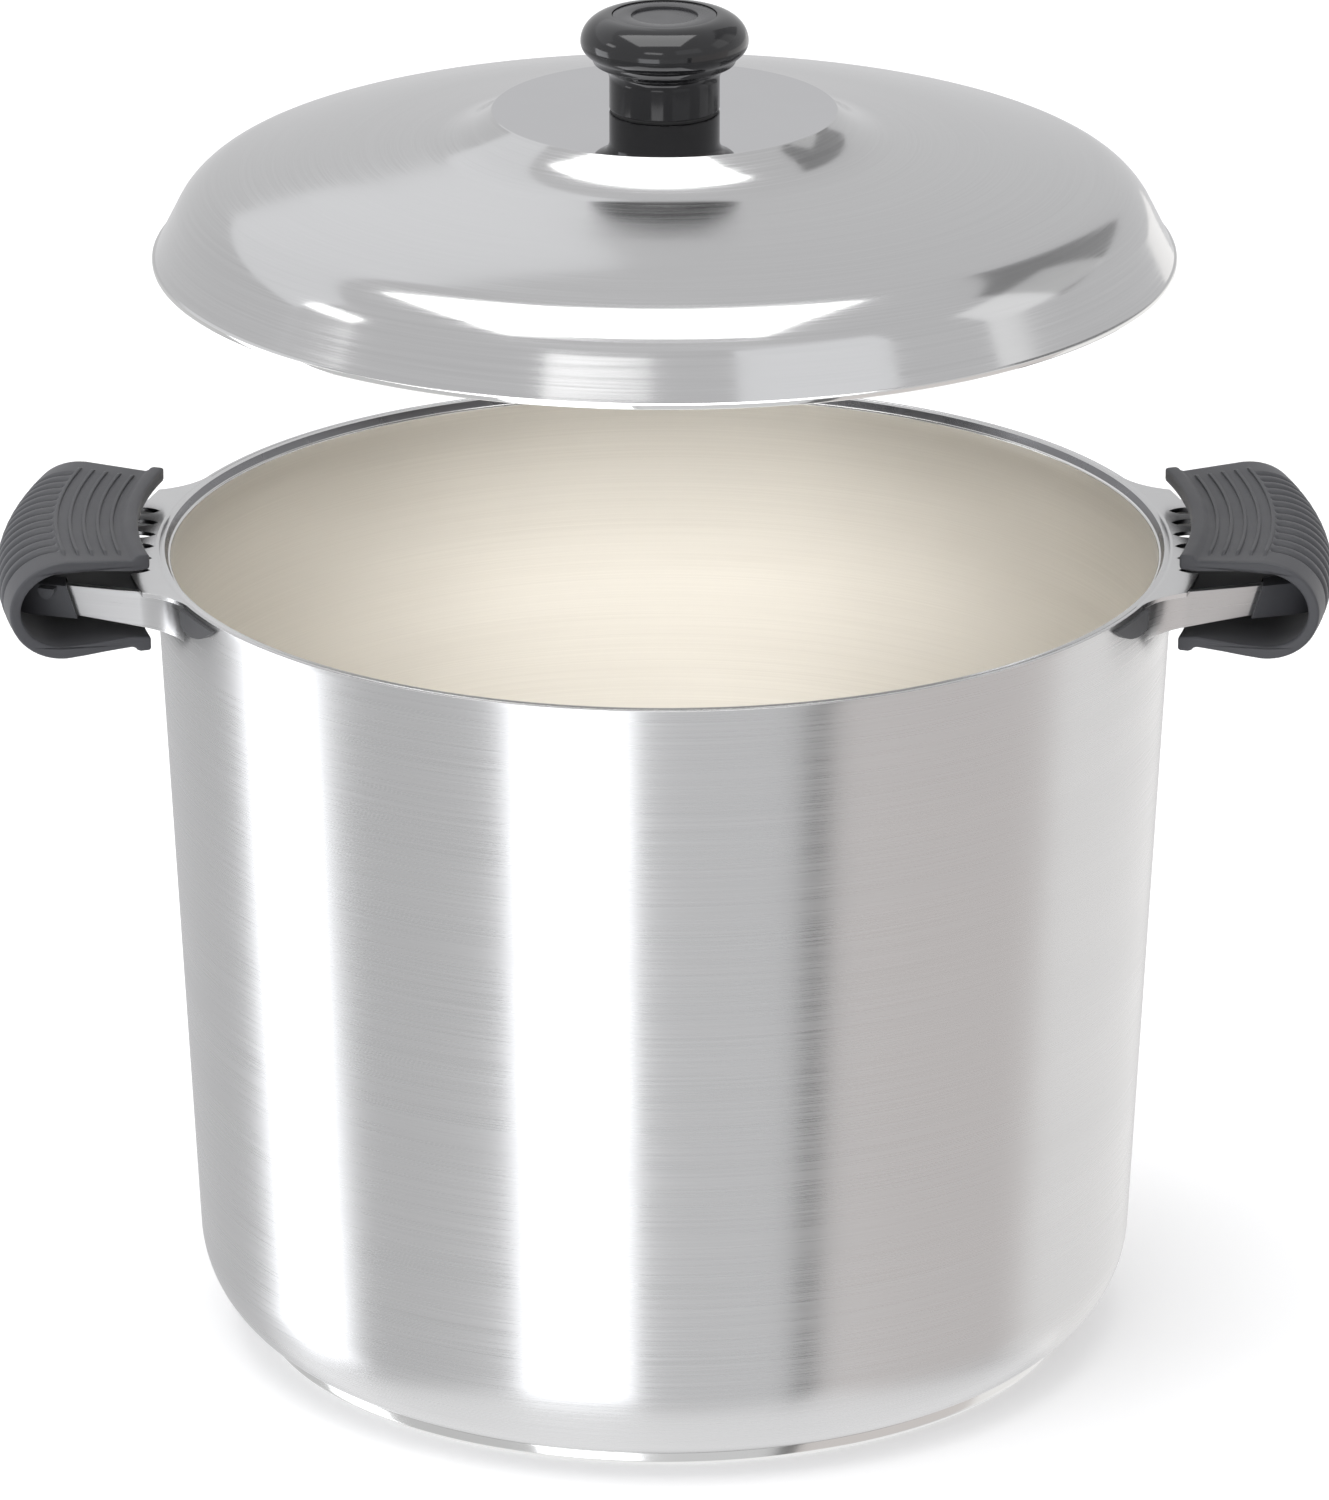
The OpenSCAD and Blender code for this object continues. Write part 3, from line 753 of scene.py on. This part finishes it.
def window_shape(half_w, height, out, deep):
    """A bmesh of a D-shaped plug, flat side up. out is how far it stands out of the sleeve's face,
    and deep how far it reaches in."""
    middle = Vector(on_arm(-SLEEVE_T, WINDOW_X))
    top = SLEEVE_TOP - WINDOW_DROP
    bm = bmesh.new()
    front, back = [], []
    for a in range(180, 361, 15):
        base = middle + ALONG * half_w * cos(radians(a))
        z = top + height * sin(radians(a))
        outer, inner = base + ACROSS * out, base - ACROSS * deep
        front.append(bm.verts.new((outer.x, outer.y, z)))
        back.append(bm.verts.new((inner.x, inner.y, z)))
    bm.faces.new(front)
    bm.faces.new(back[::-1])
    for i in range(len(front)):
        n = (i + 1) % len(front)
        bm.faces.new((front[i], back[i], back[n], front[n]))
    return bm


def window_cutter():
    """The object that cuts the window out of the sleeve."""
    bm = window_shape(WINDOW_HALF_W, WINDOW_H, 3, SLEEVE_T + 0.05)
    bmesh.ops.scale(bm, vec=(MM, MM, MM), verts=bm.verts)
    bmesh.ops.recalc_face_normals(bm, faces=bm.faces)
    mesh = bpy.data.meshes.new("window")
    bm.to_mesh(mesh)
    bm.free()
    obj = bpy.data.objects.new("window", mesh)
    bpy.context.scene.collection.objects.link(obj)
    return obj


def cut(obj, cutter):
    """Cuts the cutter's shape out of the object's own mesh, then removes the cutter."""
    m = obj.modifiers.new("cut", "BOOLEAN")
    m.operation = "DIFFERENCE"
    m.solver = "EXACT"
    m.object = cutter
    bpy.context.view_layer.update()
    made = bpy.data.meshes.new_from_object(obj.evaluated_get(bpy.context.evaluated_depsgraph_get()))
    obj.modifiers.remove(m)
    obj.data = made
    bpy.data.objects.remove(cutter)


for turn, side in SIDES:
    shell = finish_mesh("grip_shell_" + side, grip_shell(), silicone, "pot", ["grip_" + side],
                        50, turn)
    web = finish_mesh("grip_web_" + side, sleeve(), silicone, "pot", ["grip_" + side], 50, turn)
    cutter = window_cutter()
    cutter.rotation_euler.z = radians(turn)
    cut(web, cutter)
    plug = window_shape(WINDOW_HALF_W - BOSS_GAP, WINDOW_H - BOSS_GAP, -BOSS_BEHIND, SLEEVE_T + 0.2)
    boss = finish_mesh("band_boss_" + side, plug, lit_window_steel, "pot", ["strap_" + side], turn=turn)


# ---------------------------------------------------------------- lid

def lid_path(inset):
    """The lid's outline from the centre disc's edge to its rim, at a depth below its outer face:
    the flare round the disc, a straight cone, the crown's arc and the bend into the skirt."""
    shallow, steep, skirt = radians(CROWN_SLOPE), radians(SHOULDER_SLOPE), radians(SKIRT_ANGLE)
    skip_flare, skip_crown, skip_bend = 0.3, 0.4, 2
    disc = DISC_Z - LID_Z
    flare_end, flare_end_z = DISC_R + FLARE_RUN, disc - FLARE_FALL
    flare = (FLARE_RUN ** 2 + FLARE_FALL ** 2) / (
        2 * (FLARE_FALL * cos(shallow) - FLARE_RUN * sin(shallow)))
    flare_x, flare_z = flare_end + flare * sin(shallow), flare_end_z + flare * cos(shallow)
    flare_a = degrees(atan2(disc - flare_z, DISC_R - flare_x))
    cone_end_z = flare_end_z - (CONE_END_R - flare_end) * tan(shallow)
    crown = (CROWN_END_R - CONE_END_R) / (sin(steep) - sin(shallow))
    crown_x, crown_z = CONE_END_R - crown * sin(shallow), cone_end_z - crown * cos(shallow)
    crown_end_z = crown_z + crown * cos(steep)
    reach = LID_R - 0.4 - CROWN_END_R
    bend = ((reach * tan(skirt) - crown_end_z)
            / (tan(skirt) * (sin(skirt) - sin(steep)) - (cos(steep) - cos(skirt))))
    bend_x, bend_z = CROWN_END_R - bend * sin(steep), crown_end_z - bend * cos(steep)
    in_x, in_z = inset * sin(shallow), inset * cos(shallow)
    cone = [(flare_end + skip_flare - in_x, flare_end_z - skip_flare * tan(shallow) - in_z),
            (CONE_END_R - skip_crown - in_x, cone_end_z + skip_crown * tan(shallow) - in_z)]
    return (arc(flare_x, flare_z, flare + inset, flare_a, -90 - CROWN_SLOPE, 18) + cone
            + arc(crown_x, crown_z, crown - inset, 90 - CROWN_SLOPE, 90 - SHOULDER_SLOPE, 14)
            + arc(bend_x, bend_z, bend - inset, 90 - SHOULDER_SLOPE - skip_bend,
                  90 - SKIRT_ANGLE, 24))


def lid_profile():
    """The lid's closed outline, with the screw's hole in the middle."""
    top, hole_r = DISC_Z - LID_Z, 2.8
    outer, inner = lid_path(0), lid_path(LID_T)
    edge = rounded([(LID_R - 0.9, 1.9, 0), (LID_R, 1.5, 0.4), (LID_R, 0, 0.5),
                    (LID_R - 1.6, 0, 0.3), (LID_R - 1.7, 1.8, 0)], 4)
    points = [(hole_r, top), (20, top), (DISC_R - 0.15, top), (DISC_R + 0.12, top - 0.12)]
    points += outer[1:] + edge + inner[:0:-1] + [(DISC_R - 0.6, top - LID_T), (hole_r, top - LID_T)]
    return [(r, LID_Z + z) for r, z in points]


def lid_paint(r, z):
    """0 the brushed dome, 1 the mirror disc, 2 the edge."""
    if r < DISC_R - 0.1 and z > DISC_Z - 0.5:
        return 1
    return 2 if z < LID_Z + 1.7 else 0


lid = finish_mesh("lid_dome", lathe(lid_profile(), paint=lid_paint),
                  [dome_steel, disc_steel, edge_steel], "lid", ["lid_shell"], 20)


# ---------------------------------------------------------------- knob

def knob_profile():
    """The knob's closed outline: stem, bead, bulb, the cap's recess and the insert's bore."""
    bore_r, bore_top = 4.0, 12.2
    stem = 17.6
    bulb_w, bulb_down, bulb_up = 9.8, 6.5, 8.7
    shoulder = KNOB_R - bulb_w
    widest = KNOB_H - bulb_up
    recess_r, recess_z = 16.7, KNOB_H - 1.2
    foot_r, waist_r = 0.5, 4.5
    points = [(bore_r, 0)] + arc(stem - foot_r, foot_r, foot_r, -90, 0, 4)
    points += arc(stem + waist_r, widest - 12.2, waist_r, 180, 112, 8)
    points += [(stem + 4.2, widest - 7.1)]
    points += arc(stem + 4.4, widest - 6.3, 0.7, -70, -10, 4)
    points += [(shoulder + bulb_w * cos(radians(a)), widest + bulb_down * sin(radians(a)))
               for a in range(-48, 1, 6)]
    points += [(shoulder + bulb_w * cos(radians(a)), widest + bulb_up * sin(radians(a)))
               for a in range(6, 91, 6)]
    points += [(recess_r + 0.02, KNOB_H - 0.01), (recess_r, KNOB_H - 0.3), (recess_r, recess_z),
               (0, recess_z), (0, bore_top), (bore_r, bore_top)]
    return [(r, KNOB_Z + z) for r, z in points]


knob = finish_mesh("knob_head", lathe(knob_profile(), KNOB_TURNS), knob_plastic,
                   "lid", ["knob"], 40)


def knob_cap_profile():
    """The cap's closed outline: a disc with a shallow round recess in its top."""
    r, low, high = knob_cap_high[0], knob_cap_low[2], knob_cap_high[2]
    recess_r, recess_depth = 10.6, 0.75
    points = [(0, low), (r - 0.05, low)] + arc(r - 0.4, high - 0.35, 0.35, 0, 90, 4)
    points += arc(recess_r + 0.3, high - 0.3, 0.3, 90, 180, 3)
    return points + [(recess_r - 0.1, high - recess_depth), (0, high - recess_depth)]


knob_cap = finish_mesh("knob_cap_disc", lathe(knob_cap_profile(), KNOB_TURNS), cap_plastic,
                       "lid", ["knob_cap"], 40)


# ---------------------------------------------------------------- CAD nodes shown as they are

CARRIED = {
    "base_core": core_metal,
    "knob_insert": brass,
    "knob_screw": zinc,
    "knob_washer": zinc,
    "knob_lock_washer": zinc,
    "knob_gasket": gasket_rubber,
    "rack_plate": rack_metal,
    "rack_feet": rack_metal,
    "pad_left_front": shaded_pad_silicone,
    "pad_left_back": shaded_pad_silicone,
    "pad_right_front": shaded_pad_silicone,
    "pad_right_back": shaded_pad_silicone,
}
for node, material in CARRIED.items():
    node_obj = frame["nodes"][node]
    if not node_obj.material_slots:
        node_obj.data.materials.append(material)
    for material_slot in node_obj.material_slots:
        material_slot.material = material


# ---------------------------------------------------------------- floor, light and camera

def floor():
    """A wide pale floor. The steel reflects the panels and the glow below, not the floor."""
    bm = bmesh.new()
    bmesh.ops.create_grid(bm, x_segments=8, y_segments=8, size=9)
    mesh = bpy.data.meshes.new("floor")
    bm.to_mesh(mesh)
    bm.free()
    n = Nodes("floor")
    cloud = n.noise(n.stretched((1, 1, 1)), 3, 3, 0.5)
    n.link(n.mix(cloud, (0.86, 0.86, 0.86), (0.88, 0.88, 0.88)), n.shader.inputs["Base Color"])
    n.set(Roughness=0.7, Emission_Color=(1, 1, 1, 1), Emission_Strength=0.22)
    mesh.materials.append(n.material)
    obj = bpy.data.objects.new("floor", mesh)
    obj.visible_glossy = False
    obj.visible_shadow = False
    bpy.context.scene.collection.objects.link(obj)


def panel(name, width, tall, glow, colour=(1, 1, 1)):
    """A rectangular softbox of an even brightness, facing down until it is turned."""
    light = bpy.data.lights.new(name, "AREA")
    light.shape = "RECTANGLE"
    light.size, light.size_y = width, tall
    light.energy = glow * pi * width * tall
    light.color = colour
    obj = bpy.data.objects.new(name, light)
    obj.visible_camera = False
    bpy.context.scene.collection.objects.link(obj)
    return obj


def upright(name, start, end, distance, low, high, glow, colour=(1, 1, 1)):
    """A softbox that stands round the pot between two bearings. 0 is the camera's side, 90 the
    right-hand handle's."""
    middle = radians((start + end) / 2)
    width = 2 * distance * tan(radians((end - start) / 2))
    obj = panel(name, width, high - low, glow, colour)
    obj.location = (distance * sin(middle), -distance * cos(middle), (low + high) / 2)
    obj.rotation_euler = (radians(90), 0, middle)


def card(name, start, end, distance, low, high, grey):
    """A dark board that stands round the pot between two bearings, seen only in the steel."""
    middle = radians((start + end) / 2)
    half = distance * tan(radians((end - start) / 2))
    bm = bmesh.new()
    corners = ((-half, low), (half, low), (half, high), (-half, high))
    bm.faces.new([bm.verts.new((x, 0, z)) for x, z in corners])
    mesh = bpy.data.meshes.new(name)
    bm.to_mesh(mesh)
    bm.free()
    n = Nodes(name)
    mottled = n.mix(n.noise(n.place(), 4), (grey,) * 3, (grey * 1.2,) * 3)
    n.link(mottled, n.shader.inputs["Base Color"])
    n.set(Roughness=0.9)
    mesh.materials.append(n.material)
    obj = bpy.data.objects.new(name, mesh)
    obj.location = (distance * sin(middle), -distance * cos(middle), 0)
    obj.rotation_euler.z = middle
    obj.visible_camera = False
    obj.visible_shadow = False
    bpy.context.scene.collection.objects.link(obj)


def world(colour):
    """An even glow all round, which shows between the panels."""
    w = bpy.data.worlds.new("studio")
    bpy.context.scene.world = w
    w.use_nodes = True
    w.node_tree.nodes["Background"].inputs["Color"].default_value = (*colour, 1)


floor()
world((0.735, 0.735, 0.745))
COOL = (0.95, 0.965, 1.0)
upright("left strip", -107, -83, 2.0, -1.5, 0.45, 2.6, COOL)
upright("front strip", -35, -7, 2.3, -1.6, 0.45, 2.4, COOL)
upright("front fill", -5, 30, 2.3, -1.6, 0.45, 0.10, COOL)
upright("warm card", 37, 96, 1.8, -1.5, 0.6, 0.11, (1.0, 0.6, 0.4))
upright("right panel", 96, 160, 1.9, -1.6, 0.3, 0.42, (1.0, 0.97, 0.93))
card("dark flag", 31, 36.5, 1.7, -1.4, 0.5, 0.10)
# The lid's skirt leans back, so it shows panels that stand higher
upright("lid left box", -94, -78, 2.0, 1.30, 1.62, 2.6)
upright("lid front box", -28, -3, 2.0, 1.28, 1.62, 2.6)
upright("lid front fill", 17, 55, 2.0, 1.2, 2.1, 0.32, COOL)
upright("lid right fill", 80, 128, 2.0, 1.1, 2.1, 0.36)
upright("back left sky", -178, -95, 3.2, 1.9, 4.0, 0.26, COOL)
card("back right shade", 105, 150, 3.2, 1.5, 4.0, 0.30)
# Just under the rim and facing down, so that the inside isn't dark
fill = panel("inside fill", 0.2, 0.2, 3.7, (1.0, 0.97, 0.92))
fill.location.z = 0.256
overhead = panel("overhead", 2.2, 2.2, 3.2)
overhead.location = (-0.3, -0.2, 2.7)
under = panel("floor glow", 2.6, 2.6, 0.5)
under.location = (0, 0, -1.3)
under.rotation_euler.x = pi

LENS = 223.5
CAMERA_AT = (0, -2.8495, 1.2249)
CAMERA_TILT = 70.11

camera = bpy.data.cameras.new("camera")
camera.sensor_width = 36
camera.lens = LENS
camera_obj = bpy.data.objects.new("camera", camera)
camera_obj.location = CAMERA_AT
camera_obj.rotation_euler = (radians(CAMERA_TILT), 0, 0)
bpy.context.scene.collection.objects.link(camera_obj)
bpy.context.scene.camera = camera_obj
bpy.context.scene.view_settings.view_transform = "Standard"
